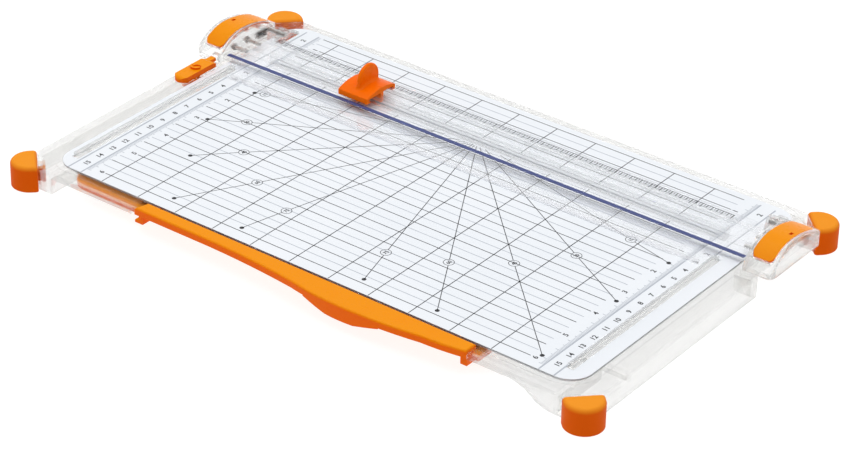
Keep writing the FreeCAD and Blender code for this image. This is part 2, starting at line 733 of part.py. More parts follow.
def make_inlay(side, sign):
    """The coloured inlay of one head, with its clips."""
    inlay = new_body("head_inlay_" + side)
    start, length = span(sign, "inlay_in + inlay_gap", "inlay_out - inlay_gap")
    pad(inlay, "strip", "YZ", start, length, inlay_section)
    pocket(inlay, "corners", "XY", "deck_top + 14", "14", inlay_corner_cuts(sign))
    for number, along in enumerate(CLIPS):
        clip_low = roof(along, "inlay_thick + 3.2")
        pad(inlay, "clip_%d" % number, "XY", clip_low, "3.7", clip_outline(sign, along, "0"))
    near, _ = span(sign, "inlay_out - 3.9", "inlay_out - 2.2")
    pocket(inlay, "mark_notch", "XY", "deck_top + 14", "3.9",
           lambda sketch: add_box_outline(sketch, near, "cut_line + 4.6", near + " + 1.7",
                                          "cut_line + 7.4"))
    return inlay


for side, sign in SIDES.items():
    head = make_head(side, sign)
    make_inlay(side, sign)
    if sign < 0:
        pocket(head, "latch_window", "XZ", "-(cut_line - head_front) + 1", "7",
               lambda sketch: add_box_outline(sketch, "latch_left + 0.9", "deck_top + 0.2",
                                              "latch_left + 5.0", "deck_top + 3.2"))


def friction_section(sketch):
    """The rubber pad that rubs on a hinge pin so that the rail stays where it is left."""
    add_box_outline(sketch, "cut_line + 14.5", "deck_top",
                    "cut_line + axis_back - pin_radius", "deck_top + 3.7")


head_screw_pieces = []
for side, sign in SIDES.items():
    start, length = span(sign, "rail_half + head_skin", "rail_half + head_skin + 2.2")
    friction = new_body("friction_pad_" + side)
    pad(friction, "block", "YZ", start, length, friction_section)
    start, length = span(sign, "lug_in + 0.5", "rail_half + pin_past_rail")
    pin = new_body("hinge_pin_" + side)
    pad(pin, "shaft", "YZ", start, length,
        lambda sketch: add_circle(sketch, "cut_line + axis_back", "axis_high", "pin_radius"))
    shank, shank_length = span(sign, "rail_half - head_screw_depth", "rail_half + head_skin")
    cap, cap_length = span(sign, "rail_half + head_skin", "rail_half + head_skin + 1.5")
    for number, along in enumerate(HEAD_SCREWS):
        spot = ("cut_line + " + along, "rail_under + 3")
        label = "%s_%d" % (side, number)
        head_screw_pieces.append(cylinder("head_screw_shank_" + label, "screw_radius", shank_length,
                                          (shank,) + spot, Vector(1, 0, 0)))
        head_screw_pieces.append(cylinder("head_screw_cap_" + label, "screw_cap_radius", cap_length,
                                          (cap,) + spot, Vector(1, 0, 0)))
    pocket(rail, "screw_holes_" + side, "YZ", shank, "head_screw_depth + head_skin",
           head_screw_outlines("screw_radius + face_gap"), reverse=True)
joined("head_screws", head_screw_pieces)


# ---------------------------------------------------------------- carriage

carriage = new_body("carriage_body")


def carriage_section(sketch):
    """The carriage from its end: arched top, two hooked lips and a middle leg."""
    front = "cut_line - carriage_front"
    rear = "cut_line + carriage_rear"
    lip_low = "ridge_top - 2.1"
    hook_top = "ridge_top - 1.7"
    ceiling = "ridge_top + 0.35"
    inner_front = "cut_line - ridge_front - lip_gap"
    inner_rear = "cut_line + ridge_rear + lip_gap"
    hook_front = "cut_line - ridge_front + hook_reach"
    hook_rear = "cut_line + ridge_rear - hook_reach"
    leg_low = "rail_under + 0.7"
    add_outline(sketch, [
        (front, lip_low), (hook_front, lip_low), (hook_front, hook_top),
        (inner_front, hook_top), (inner_front, ceiling),
        ("cut_line - leg_half", ceiling), ("cut_line - leg_half", leg_low),
        ("cut_line + leg_half", leg_low), ("cut_line + leg_half", ceiling),
        (inner_rear, ceiling), (inner_rear, hook_top), (hook_rear, hook_top),
        (hook_rear, lip_low), (rear, lip_low), (rear, "deck_top + 7.6"),
        ("cut_line - 0.6", "deck_top + 10.2", front, "deck_top + 7.8")])


def fin_section(sketch):
    """The thumb fin: an upright plate with a half-round top."""
    low = "deck_top + 8.4"
    middle = "deck_top + fin_top - fin_radius"
    add_outline(sketch, [
        ("cut_line - fin_radius", low), ("cut_line + fin_radius", low),
        ("cut_line + fin_radius", middle),
        ("cut_line", "deck_top + fin_top", "cut_line - fin_radius", middle)])


def is_fin_rim(edge, middle):
    """Whether an edge runs round the outside of one of the fin's broad faces."""
    on_face = abs(abs(middle.x - size("carriage_mid")) - size("fin_half")) < 0.02
    return on_face and middle.z > size("deck_top + 10.9")


def is_fin_root(edge, middle):
    """Whether an edge lies where the fin meets the saddle."""
    near_fin = abs(middle.x - size("carriage_mid")) < size("fin_half") + 0.15
    return near_fin and size("deck_top + 9") < middle.z < size("deck_top + 11.2")


def blade_seat_outline(sketch):
    """The slot in the leg that holds the blade."""
    add_box_outline(sketch, "carriage_mid - blade_half", "rail_under - 1",
                    "carriage_mid + blade_half", "blade_top")


pad(carriage, "saddle", "YZ", "carriage_mid - carriage_half", "2 * carriage_half",
    carriage_section)
pad(carriage, "fin", "YZ", "carriage_mid - fin_half", "2 * fin_half", fin_section)
round_edges(carriage, "fin_rim", "0.9", is_fin_rim)
round_edges(carriage, "fin_root", "2.0", is_fin_root)
pocket(carriage, "blade_seat", "XZ", "-(cut_line - blade_thick / 2)", "blade_thick",
       blade_seat_outline)
pocket(carriage, "pin_hole", "XZ", "-(cut_line - leg_half)", "2 * leg_half",
       lambda sketch: add_circle(sketch, "carriage_mid", "pin_high", "blade_pin_radius"))


def blade_outline(sketch):
    """The blade from its side, with a shallow point below."""
    add_outline(sketch, [
        ("carriage_mid - blade_half", "blade_top"), ("carriage_mid - blade_half", "rail_under"),
        ("carriage_mid", "deck_top - blade_depth"), ("carriage_mid + blade_half", "rail_under"),
        ("carriage_mid + blade_half", "blade_top")])


blade = new_body("blade")
pad(blade, "plate", "XZ", "-(cut_line + blade_thick / 2)", "blade_thick", blade_outline)
pocket(blade, "pin_hole", "XZ", "-(cut_line - blade_thick / 2)", "blade_thick",
       lambda sketch: add_circle(sketch, "carriage_mid", "pin_high", "blade_pin_radius"))
blade_pin = new_body("blade_pin")
pad(blade_pin, "shaft", "XZ", "-(cut_line + leg_half)", "2 * leg_half",
    lambda sketch: add_circle(sketch, "carriage_mid", "pin_high", "blade_pin_radius"))


# ---------------------------------------------------------------- swing arm

arm = new_body("extension_arm")


def arm_plate_outline(sketch):
    """The flat arm under the deck, round about its pivot."""
    add_outline(sketch, [
        ("arm_right", "pivot_y - arm_half"),
        ("arm_right", "pivot_y + arm_half"), ("pivot_x", "pivot_y + arm_half"),
        ("pivot_x - arm_half", "pivot_y", "pivot_x", "pivot_y - arm_half")])


def handle_end(along):
    """Where the handle's left end lies: on an arc about the pivot."""
    return "pivot_x + sqrt(handle_arc ^ 2 - (%s - pivot_y) ^ 2)" % along


def bulge(across):
    """The crown of the handle's front, as an arc to each side of its foremost point."""
    bow = "bulge_right" if size(across) > size("bulge_peak") else "bulge_left"
    return "handle_reach + %s - sqrt(%s ^ 2 - (%s - bulge_peak) ^ 2)" % (bow, bow, across)


def handle_outline(sketch):
    """The handle from above: straight back, bulging front, round left end."""
    half_way = "(handle_front + handle_back) / 2"
    add_outline(sketch, [
        ("bulge_peak - 90", "handle_front"),
        ("bulge_peak - 61", "handle_front - 1.2", "bulge_peak - 33", bulge("bulge_peak - 33")),
        ("bulge_peak - 16", bulge("bulge_peak - 16"), "bulge_peak", "handle_reach"),
        ("bulge_peak + 24", bulge("bulge_peak + 24"), "bulge_peak + 48",
         bulge("bulge_peak + 48")),
        ("bulge_peak + 62", "handle_front - 1.9", "handle_right", "handle_front"),
        ("handle_right", "handle_back"), (handle_end("handle_back"), "handle_back"),
        (handle_end(half_way), half_way, handle_end("handle_front"), "handle_front")])


def finger_lip_outline(sketch):
    """The lip that hangs from the crown of the handle's front."""
    left = "bulge_peak - 24"
    right = "bulge_peak + 24"
    add_outline(sketch, [
        (left, bulge(left)),
        ("bulge_peak - 12", bulge("bulge_peak - 12"), "bulge_peak", "handle_reach"),
        ("bulge_peak + 12", bulge("bulge_peak + 12"), right, bulge(right)),
        (right, bulge(right) + " + lip_thick"),
        ("bulge_peak + 12", bulge("bulge_peak + 12") + " + lip_thick",
         "bulge_peak", "handle_reach + lip_thick"),
        ("bulge_peak - 12", bulge("bulge_peak - 12") + " + lip_thick",
         left, bulge(left) + " + lip_thick")])


def lip_arch_outline(sketch):
    """What comes off below the lip, so that its edge hangs in a shallow arch."""
    left = "bulge_peak - 24.5"
    right = "bulge_peak + 24.5"
    add_outline(sketch, [
        (left, "lip_bottom - 1"), (right, "lip_bottom - 1"), (right, "arm_top - 0.4"),
        ("bulge_peak + 16", "lip_bottom + 2", "bulge_peak + 9", "lip_bottom + 0.3"),
        ("bulge_peak", "lip_bottom + 0.02", "bulge_peak - 9", "lip_bottom + 0.3"),
        ("bulge_peak - 16", "lip_bottom + 2", left, "arm_top - 0.4")])


pad(arm, "arm_plate", "XY", "arm_bottom", "arm_top - arm_bottom", arm_plate_outline)
pad(arm, "handle", "XY", "arm_top", "handle_top - arm_top", handle_outline)
round_edges(arm, "handle_rim", "handle_round",
            lambda edge, middle: middle.z > size("handle_top") - 0.01)
pad(arm, "finger_lip", "XY", "lip_bottom", "arm_top - lip_bottom", finger_lip_outline)
pocket(arm, "lip_arch", "XZ", "-handle_reach + 1", "lip_thick + 4.5", lip_arch_outline)
pad(arm, "left_leg", "XY", "leg_bottom", "arm_top - leg_bottom",
    lambda sketch: add_box_outline(sketch, "handle_left", "handle_front + 1.0",
                                   "handle_left + 2.5", "handle_back - 0.2"))
pad(arm, "left_toe", "XY", "leg_bottom", "1.5",
    lambda sketch: add_box_outline(sketch, "handle_left - 2.8", "handle_front + 1.0",
                                   "handle_left", "handle_back - 0.2"))
pad(arm, "right_leg", "XY", "leg_bottom", "arm_top - leg_bottom",
    lambda sketch: add_box_outline(sketch, "handle_right - 4", "handle_front + 1.0",
                                   "handle_right", "handle_back - 0.2"))
pocket(arm, "pivot_hole", "XY", "arm_top", "arm_top - arm_bottom",
       lambda sketch: add_circle(sketch, "pivot_x", "pivot_y", "shoulder_radius + 0.05"))


def at_pivot(radius):
    """A drawing of one circle about the arm's pivot."""
    return lambda sketch: add_circle(sketch, "pivot_x", "pivot_y", radius)


def cross_outline(sketch):
    """The cross recess of the pivot screw."""
    add_outline(sketch, [
        ("pivot_x + %s" % across, "pivot_y + %s" % along) for across, along in (
            ("2.4", "-0.5"), ("2.4", "0.5"), ("0.5", "0.5"), ("0.5", "2.4"), ("-0.5", "2.4"),
            ("-0.5", "0.5"), ("-2.4", "0.5"), ("-2.4", "-0.5"), ("-0.5", "-0.5"),
            ("-0.5", "-2.4"), ("0.5", "-2.4"), ("0.5", "-0.5"))])


pivot_screw = new_body("arm_pivot_screw")
pad(pivot_screw, "head", "XY", "washer_low - 1.8", "1.8", at_pivot("5.5"))
pad(pivot_screw, "shoulder", "XY", "washer_low", "deck_top - plate - washer_low",
    at_pivot("shoulder_radius"))
pad(pivot_screw, "thread", "XY", PLATE_BOTTOM, "plate - panel_thick",
    at_pivot("shoulder_radius / 2"))
pocket(pivot_screw, "cross", "XY", "washer_low - 1.8", "1.1", cross_outline, reverse=True)

washer = new_body("arm_pivot_washer")
pad(washer, "ring", "XY", "washer_low", "0.5", at_pivot("7.5"))
pocket(washer, "bore", "XY", "washer_low + 0.5", "0.5", at_pivot("shoulder_radius"))


# ---------------------------------------------------------------- latch slider

latch = new_body("latch_slider")


def latch_side(sketch):
    """The slider from its side: a flat back, round at the front and bevelled behind."""
    low = "deck_top + 0.3"
    top = "deck_top + latch_high"
    add_outline(sketch, [
        ("latch_front", low), ("latch_rear", low), ("latch_rear", top + " - 0.9"),
        ("latch_rear - 2.5", top), ("latch_front + 2.4", top),
        ("latch_front + 0.7", top + " - 0.7", "latch_front", top + " - 2.4")])


def latch_top_cut(sketch):
    """What comes off the slider's front corners, leaving a rounded prow."""
    left = "latch_left"
    right = "latch_right"
    add_outline(sketch, [
        (left + " - 1", "latch_front - 1"), (right + " + 1", "latch_front - 1"),
        (right + " + 1", "latch_front + 3"), (right, "latch_front + 3"),
        ("(%s + %s) / 2" % (left, right), "latch_front", left, "latch_front + 3"),
        (left + " - 1", "latch_front + 3")])


def thumb_ridge(sketch):
    """The raised half-moon that a thumb pushes against."""
    middle = "(latch_left + latch_right) / 2"
    add_outline(sketch, [
        (middle, "thumb_y + 0.3", middle + " - 3.3", "thumb_y"),
        (middle, "thumb_y - 3.3", middle + " + 3.3", "thumb_y")])


pad(latch, "bar", "YZ", "latch_left", "latch_right - latch_left", latch_side)
pocket(latch, "prow", "XY", "deck_top + 6", "7", latch_top_cut)
pad(latch, "thumb_ridge", "XY", "deck_top + latch_high - 0.3", "1.5", thumb_ridge)
pocket(latch, "thumb_scoop", "XY", "deck_top + latch_high + 1.2", "2.0",
       lambda sketch: add_circle(sketch, "(latch_left + latch_right) / 2", "thumb_y + 0.6", "2.5"))
pad(latch, "tongue", "XY", "deck_top + 0.6", "2",
    lambda sketch: add_box_outline(sketch, "latch_left + 1.2", "latch_rear - 1",
                                   "latch_left + 4.7", "latch_rear + 4.8"))
pad(latch, "stem", "XY", PLATE_BOTTOM + " - 0.3", "plate + 0.9",
    lambda sketch: add_box_outline(sketch, "latch_left + 3.1", "latch_front + 6.8",
                                   "latch_left + 6.5", "latch_front + 16.5"))
pad(latch, "keeper", "XY", PLATE_BOTTOM + " - 1.8", "1.5",
    lambda sketch: add_box_outline(sketch, "latch_left + 2.3", "latch_front + 5.8",
                                   "latch_left + 8.3", "latch_front + 17.5"))


# ---------------------------------------------------------------- check and write

doc.recompute()
failed = [item.Name for item in doc.Objects
          if "Invalid" in item.State or "Error" in item.State]
if failed:
    raise ValueError("objects that failed: " + ", ".join(failed))
os.makedirs(PARTS_FOLDER, exist_ok=True)
for node in nodes:
    if node.Shape.isNull() or not node.Shape.isValid():
        raise ValueError("bad shape: " + node.Label)
for node in nodes:
    node.Shape.exportStep(os.path.join(PARTS_FOLDER, node.Label + ".step"))
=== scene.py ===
import math

import bmesh
import bpy
from mathutils import Matrix, Vector


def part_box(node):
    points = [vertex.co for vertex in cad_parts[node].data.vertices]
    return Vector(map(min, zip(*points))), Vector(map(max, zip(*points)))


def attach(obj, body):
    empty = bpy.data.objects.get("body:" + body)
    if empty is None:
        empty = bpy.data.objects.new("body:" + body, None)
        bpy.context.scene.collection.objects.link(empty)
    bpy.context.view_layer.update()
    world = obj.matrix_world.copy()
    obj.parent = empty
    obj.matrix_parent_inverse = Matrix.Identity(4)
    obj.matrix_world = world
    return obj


# A rail paper trimmer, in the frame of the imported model. Lengths are in metres where they meet
# Blender, and in millimetres where a comment says so.

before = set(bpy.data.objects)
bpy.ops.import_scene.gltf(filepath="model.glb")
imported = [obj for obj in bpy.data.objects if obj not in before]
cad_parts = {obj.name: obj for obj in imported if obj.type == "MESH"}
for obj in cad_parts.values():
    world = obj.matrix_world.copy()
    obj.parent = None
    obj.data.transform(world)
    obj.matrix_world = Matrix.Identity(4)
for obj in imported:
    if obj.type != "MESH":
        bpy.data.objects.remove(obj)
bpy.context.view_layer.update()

MM = 0.001

# Places that the printing starts from
panel_low, panel_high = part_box("deck_panel")
strip_low, strip_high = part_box("cutting_strip")
CUT_Y = (strip_low.y + strip_high.y) / 2
PROTRACTOR_X = -7.75 * MM
RAIL_FLANGE_TOP = 17.2 * MM

# Sizes of the printing, in millimetres
INCH = 25.4
INK_DEPTH = {"black": 0.03, "grey": 0.02}
GRID_LINE = 0.5
BAND_LINE = 0.9
SCALE_LINE = 0.42
ANGLE_LINE = 0.42
NUMBER_HEIGHT = 3.1
ANGLE_HEIGHT = 2.3
RING_RADIUS = 3.0
RING_LINE = 0.34
DOT_RADIUS = 1.25
FRONT_MARGIN = 0.3
STRIP_MARGIN = 0.4

# Where the printing lies, in millimetres right of the protractor's centre and behind the cut
GRID_LEFT, GRID_RIGHT = -138.0, 145.2
GRID_LEFT_PAST_NUMBERS = -131.0
GRID_REAR = 38.1
INCH_NUMBERS_X = (-133.7, 147.9)
CENTIMETRE_NUMBERS_X = (-146.2, 159.9)
REAR_NUMBER_Y = 30.0
BANDS_X = (-151.0, -142.0, 155.0, 164.0)
# Each millimetre scale: where it stands, and which way its ticks point
MILLIMETRE_SCALES = ((-141.5, 1), (154.5, -1))
ANGLE_START_Y = 5.0
LABEL_RADIUS = 126.2
# Where each angle's two lines end, to the right and to the left
ANGLE_ENDS = {
    15: ((149.7, -39.5), (-127.5, -35.0)), 30: ((149.6, -86.0), (-128.0, -74.0)),
    45: ((149.6, -149.0), (-109.0, -110.0)), 60: ((86.0, -149.0), (-86.0, -149.0)),
    75: ((40.0, -149.0), (-39.5, -149.5)),
}
RAIL_SCALE_Y = 17.3
RAIL_SCALE_LINE = 0.3
# Ticks of the rail's scale: every how many sixteenths of an inch, how long, how wide
RAIL_TICKS = ((16, 4.4, 0.70), (4, 3.8, 0.62), (2, 3.1, 0.58), (1, 1.9, 0.36))


# ---------------------------------------------------------------- materials

class Shader:
    """A new material, with the few kinds of node that every finish here is made of."""

    def __init__(self, name, roughness, **settings):
        self.material = bpy.data.materials.new(name)
        self.material.use_nodes = True
        self.tree = self.material.node_tree
        self.surface = self.tree.nodes["Principled BSDF"]
        self.place = self.add("ShaderNodeTexCoord").outputs["Object"]
        for socket, value in settings.items():
            self.surface.inputs[socket.replace("_", " ")].default_value = value
        self.set_roughness(*roughness)

    def add(self, kind, **settings):
        """A new node of one kind, with its settings."""
        node = self.tree.nodes.new(kind)
        for name, value in settings.items():
            setattr(node, name, value)
        return node

    def link(self, source, target):
        self.tree.links.new(source, target)

    def noise(self, grain, detail=2.0, stretch=(1.0, 1.0, 1.0)):
        """Noise whose blotches are about grain metres across."""
        mapping = self.add("ShaderNodeMapping")
        mapping.inputs["Scale"].default_value = stretch
        self.link(self.place, mapping.inputs["Vector"])
        texture = self.add("ShaderNodeTexNoise")
        texture.inputs["Scale"].default_value = 1.0 / grain
        texture.inputs["Detail"].default_value = detail
        self.link(mapping.outputs["Vector"], texture.inputs["Vector"])
        return texture.outputs["Fac"]

    def spread(self, factor, low, high):
        """The noise's middle range, stretched to run from low to high."""
        node = self.add("ShaderNodeMapRange")
        node.inputs["From Min"].default_value = 0.3
        node.inputs["From Max"].default_value = 0.7
        node.inputs["To Min"].default_value = low
        node.inputs["To Max"].default_value = high
        self.link(factor, node.inputs["Value"])
        return node.outputs["Result"]

    def set_roughness(self, low, high, grain, stretch=(1.0, 1.0, 1.0)):
        """A roughness that drifts between two values."""
        factor = self.noise(grain, 3.0, stretch)
        self.link(self.spread(factor, low, high), self.surface.inputs["Roughness"])

    def set_colour(self, first, second, grain, stretch=(1.0, 1.0, 1.0)):
        """A colour that drifts between two shades."""
        mix = self.add("ShaderNodeMix", data_type="RGBA")
        mix.inputs["A"].default_value = (*first, 1.0)
        mix.inputs["B"].default_value = (*second, 1.0)
        factor = self.noise(grain, 3.0, stretch)
        self.link(self.spread(factor, 0.0, 1.0), mix.inputs["Factor"])
        self.link(mix.outputs["Result"], self.surface.inputs["Base Color"])

    def set_colour_by_lean(self, top, side, grain):
        """Painted light and shade: one colour on faces that look up or down, another on upright faces,
        standing in for how the lamps light them, with a little random drift.
        """
        split = self.add("ShaderNodeSeparateXYZ")
        self.link(self.add("ShaderNodeTexCoord").outputs["Normal"], split.inputs["Vector"])
        lean = self.add("ShaderNodeMath", operation="ABSOLUTE")
        self.link(split.outputs["Z"], lean.inputs[0])
        drift = self.spread(self.noise(grain, 3.0), -0.06, 0.06)
        total = self.add("ShaderNodeMath", operation="ADD", use_clamp=True)
        self.link(lean.outputs["Value"], total.inputs[0])
        self.link(drift, total.inputs[1])
        # Painted light and shade: A is the colour painted on upright faces, B the colour on faces that
        # look up or down
        mix = self.add("ShaderNodeMix", data_type="RGBA")
        mix.inputs["A"].default_value = (*side, 1.0)
        mix.inputs["B"].default_value = (*top, 1.0)
        self.link(total.outputs["Value"], mix.inputs["Factor"])
        self.link(mix.outputs["Result"], self.surface.inputs["Base Color"])

    def set_bump(self, grain, depth, strength, stretch=(1.0, 1.0, 1.0)):
        """A surface that rises and falls by about depth metres."""
        bump = self.add("ShaderNodeBump")
        bump.inputs["Strength"].default_value = strength
        bump.inputs["Distance"].default_value = depth
        self.link(self.noise(grain, stretch=stretch), bump.inputs["Height"])
        self.link(bump.outputs["Normal"], self.surface.inputs["Normal"])

    def let_light_through(self, tint, unbent):
        """Shadow rays go straight through, and so does an unbent part of what is seen."""
        path = self.add("ShaderNodeLightPath")
        straight = self.add("ShaderNodeMath", operation="MAXIMUM")
        straight.inputs[1].default_value = unbent
        clear = self.add("ShaderNodeBsdfTransparent")
        clear.inputs["Color"].default_value = (*tint, 1.0)
        mix = self.add("ShaderNodeMixShader")
        output = self.tree.nodes["Material Output"]
        self.link(path.outputs["Is Shadow Ray"], straight.inputs[0])
        self.link(straight.outputs["Value"], mix.inputs["Fac"])
        self.link(self.surface.outputs["BSDF"], mix.inputs[1])
        self.link(clear.outputs["BSDF"], mix.inputs[2])
        self.link(mix.outputs["Shader"], output.inputs["Surface"])


def clear_plastic(name, unbent, tint):
    """Polished injection-moulded acrylic, with faint flow waves."""
    shader = Shader(name, (0.015, 0.05, 12 * MM), IOR=1.49, Transmission_Weight=0.98)
    shader.set_colour((0.945, 0.945, 0.938), (0.915, 0.917, 0.912), 40 * MM)
    shader.set_bump(9 * MM, 0.03 * MM, 0.35)
    shader.let_light_through(tint, unbent)
    return shader.material


def frosted_plastic():
    """A milky see-through strip."""
    shader = Shader("grip_plastic", (0.45, 0.6, 3 * MM), IOR=1.3, Alpha=0.3)
    shader.set_colour((0.93, 0.93, 0.94), (0.86, 0.86, 0.88), 4 * MM)
    shader.set_bump(0.6 * MM, 0.01 * MM, 0.3)
    shader.let_light_through((0.93, 0.93, 0.935), 0.6)
    return shader.material


def moulded_orange(name, top, side, roughness, shine, bump_depth):
    """Coloured plastic with a fine moulded grain, its upright faces painted a different shade from its
    top faces as painted light and shade.
    """
    shader = Shader(name, roughness, IOR=1.5, Specular_IOR_Level=shine)
    # Painted light and shade: top goes on faces that look up or down, side on upright faces
    shader.set_colour_by_lean(top, side, 14 * MM)
    shader.set_bump(0.35 * MM, bump_depth, 0.5)
    return shader.material


def printed_board():
    """White printed sheet under a satin varnish."""
    shader = Shader("board_white", (0.32, 0.42, 6 * MM), IOR=1.45)
    shader.set_colour((0.80, 0.825, 0.86), (0.77, 0.80, 0.84), 60 * MM)
    shader.set_bump(0.5 * MM, 0.01 * MM, 0.3)
    return shader.material


def ink(name, first, second):
    """Printing ink, a little uneven where it is laid down."""
    shader = Shader(name, (0.4, 0.55, 1 * MM), IOR=1.45)
    shader.set_colour(first, second, 3 * MM)
    shader.set_bump(0.3 * MM, 0.004 * MM, 0.3)
    return shader.material


def soft_plastic(name, first, second, roughness, stretch=(1.0, 1.0, 1.0)):
    """A dull soft plastic or rubber."""
    shader = Shader(name, roughness, IOR=1.48)
    shader.set_colour(first, second, 4 * MM, stretch)
    shader.set_bump(0.25 * MM, 0.03 * MM, 0.5, stretch)
    return shader.material


def brushed_steel(name, first, second, roughness, stretch):
    """Steel with fine lines along one direction."""
    shader = Shader(name, roughness, Metallic=1.0)
    shader.set_colour(first, second, 2 * MM, stretch)
    shader.set_bump(0.4 * MM, 0.01 * MM, 0.5, stretch)
    return shader.material


CLEAR = clear_plastic("clear_acrylic", 0.70, (0.935, 0.934, 0.928))
RAIL_CLEAR = clear_plastic("clear_rail", 0.84, (0.986, 0.986, 0.986))
HEAD_CLEAR = clear_plastic("clear_heads", 0.4, (0.965, 0.965, 0.96))
BOARD = printed_board()
# Painted shade: the second colour, deeper and redder, is painted on the orange plastic's upright faces
ORANGE = moulded_orange(
    "orange_gloss", (0.83, 0.275, 0.002), (0.86, 0.13, 0.0005), (0.24, 0.34, 5 * MM), 0.06, 0.012 * MM)
# Painted light: the second colour, brighter, is painted on the carriage's upright faces
CARRIAGE_ORANGE = moulded_orange(
    "orange_deep", (0.86, 0.14, 0.0005), (0.97, 0.165, 0.0005), (0.24, 0.34, 5 * MM), 0.05, 0.012 * MM)
# Painted shade: the second colour, deeper and redder, is painted on the feet's upright faces
FOOT_ORANGE = moulded_orange(
    "orange_soft", (0.82, 0.285, 0.018), (0.70, 0.095, 0.0005), (0.42, 0.55, 4 * MM), 0.03, 0.03 * MM)
NAVY = ink("navy_ink", (0.055, 0.075, 0.23), (0.045, 0.062, 0.19))
BLACK_INK = ink("black_ink", (0.018, 0.018, 0.022), (0.03, 0.03, 0.035))
GREY_INK = ink("grey_ink", (0.44, 0.47, 0.52), (0.40, 0.43, 0.48))
STRIP = soft_plastic(
    "strip_plastic", (0.62, 0.64, 0.67), (0.55, 0.57, 0.60), (0.4, 0.5, 3 * MM), (0.2, 1, 1))
GRIP = frosted_plastic()
BLACK = soft_plastic("black_pad", (0.02, 0.02, 0.02), (0.035, 0.035, 0.035), (0.6, 0.75, 2 * MM))
STEEL = brushed_steel(
    "turned_steel", (0.62, 0.61, 0.60), (0.50, 0.49, 0.48), (0.25, 0.38, 2 * MM), (1, 1, 6))
BLADE = brushed_steel(
    "blade_metal", (0.70, 0.70, 0.71), (0.58, 0.58, 0.60), (0.15, 0.28, 2 * MM), (8, 1, 1))

FINISHES = {
    "clear_body": CLEAR, "panel_white": BOARD, "strip_grey": STRIP,
    "orange_rubber": FOOT_ORANGE, "orange_plastic": ORANGE, "navy_print": NAVY,
    "grip_rubber": GRIP, "black_rubber": BLACK, "steel": STEEL, "blade_steel": BLADE,
}

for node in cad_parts.values():
    for material_slot in node.material_slots:
        material_slot.material = FINISHES[material_slot.material.name.split(".")[0]]
OWN_FINISHES = {
    "carriage_body": CARRIAGE_ORANGE, "rail_body": RAIL_CLEAR,
    "rail_head_left": HEAD_CLEAR, "rail_head_right": HEAD_CLEAR,
}
for name, finish in OWN_FINISHES.items():
    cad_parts[name].material_slots[0].material = finish


# ---------------------------------------------------------------- printing

class Marks:
    """Closed, very thin marks of ink that lie on one level surface."""

    def __init__(self, name, level, thickness):
        self.name = name
        self.low = level
        self.high = level + thickness
        self.mesh = bmesh.new()

    def prism(self, outline):
        """A thin solid over a convex outline of (x, y) points."""
        low = [self.mesh.verts.new((x, y, self.low)) for x, y in outline]
        high = [self.mesh.verts.new((x, y, self.high)) for x, y in outline]
        self.mesh.faces.new(low[::-1])
        self.mesh.faces.new(high)
        for here in range(len(outline)):
            after = (here + 1) % len(outline)
            self.mesh.faces.new((low[here], low[after], high[after], high[here]))

    def bar(self, start, end, width):
        """A straight line of ink."""
        along = Vector(end) - Vector(start)
        side = Vector((-along.y, along.x)).normalized() * width / 2
        corners = (Vector(start) - side, Vector(end) - side, Vector(end) + side, Vector(start) + side)
        self.prism([tuple(corner) for corner in corners])

    def disc(self, centre, radius, steps=24):
        """A round dot."""
        turns = [2 * math.pi * step / steps for step in range(steps)]
        self.prism([(centre[0] + radius * math.cos(t), centre[1] + radius * math.sin(t)) for t in turns])

    def ring(self, centre, outer, inner, steps=32):
        """A round line, made of short blocks that share their corners."""
        loops = []
        section = ((inner, self.low), (outer, self.low), (outer, self.high), (inner, self.high))
        for radius, height in section:
            turns = [2 * math.pi * step / steps for step in range(steps)]
            loops.append([self.mesh.verts.new((
                centre[0] + radius * math.cos(t), centre[1] + radius * math.sin(t), height))
                for t in turns])
        for first, second in zip(loops, loops[1:] + loops[:1]):
            for here in range(steps):
                after = (here + 1) % steps
                self.mesh.faces.new((first[here], first[after], second[after], second[here]))

    def digits(self, text, centre, height):
        """A number whose top points to -X, as all the numbers here do."""
        curve = bpy.data.curves.new("digits", "FONT")
        curve.body = text
        curve.extrude = 0.5
        curve.offset = 0.025
        writing = bpy.data.objects.new("digits", curve)
        bpy.context.scene.collection.objects.link(writing)
        shape = bpy.data.meshes.new_from_object(writing.evaluated_get(
            bpy.context.evaluated_depsgraph_get()))
        bpy.data.objects.remove(writing)
        bpy.data.curves.remove(curve)
        xs = [v.co.x for v in shape.vertices]
        ys = [v.co.y for v in shape.vertices]
        scale = height / (max(ys) - min(ys))
        middle = Vector(((min(xs) + max(xs)) / 2, (min(ys) + max(ys)) / 2, -0.5))
        place = Vector((*centre, self.low))
        shape.transform(
            Matrix.Translation(place)
            @ Matrix.Rotation(math.pi / 2, 4, "Z")
            @ Matrix.Diagonal((scale, scale, self.high - self.low, 1.0))
            @ Matrix.Translation(-middle))
        self.mesh.from_mesh(shape)
        bpy.data.meshes.remove(shape)

    def finish(self, material, body):
        """Turn the marks into one piece that rides on a body."""
        bmesh.ops.remove_doubles(self.mesh, verts=self.mesh.verts, dist=1e-6 * MM)
        bmesh.ops.recalc_face_normals(self.mesh, faces=self.mesh.faces)
        data = bpy.data.meshes.new(self.name)
        self.mesh.to_mesh(data)
        self.mesh.free()
        data.materials.append(material)
        piece = bpy.data.objects.new(self.name, data)
        bpy.context.scene.collection.objects.link(piece)
        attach(piece, body)
        return piece


def board(x, y):
    """A point of the board, from millimetres right of the protractor's centre and behind the cut."""
    return PROTRACTOR_X + x * MM, CUT_Y + y * MM


def print_board():
    """The grid, scales and protractor on the white board."""
    top = panel_high.z
    black = Marks("print_black", top, INK_DEPTH["black"] * MM)
    grey = Marks("print_grey", top, INK_DEPTH["grey"] * MM)
    front = (panel_low.y - CUT_Y) / MM + FRONT_MARGIN
    print_grid(black, grey, front)
    print_numbers(black)
    print_scales(grey, front)
    print_protractor(black)
    black.finish(BLACK_INK, "base")
    grey.finish(GREY_INK, "base")


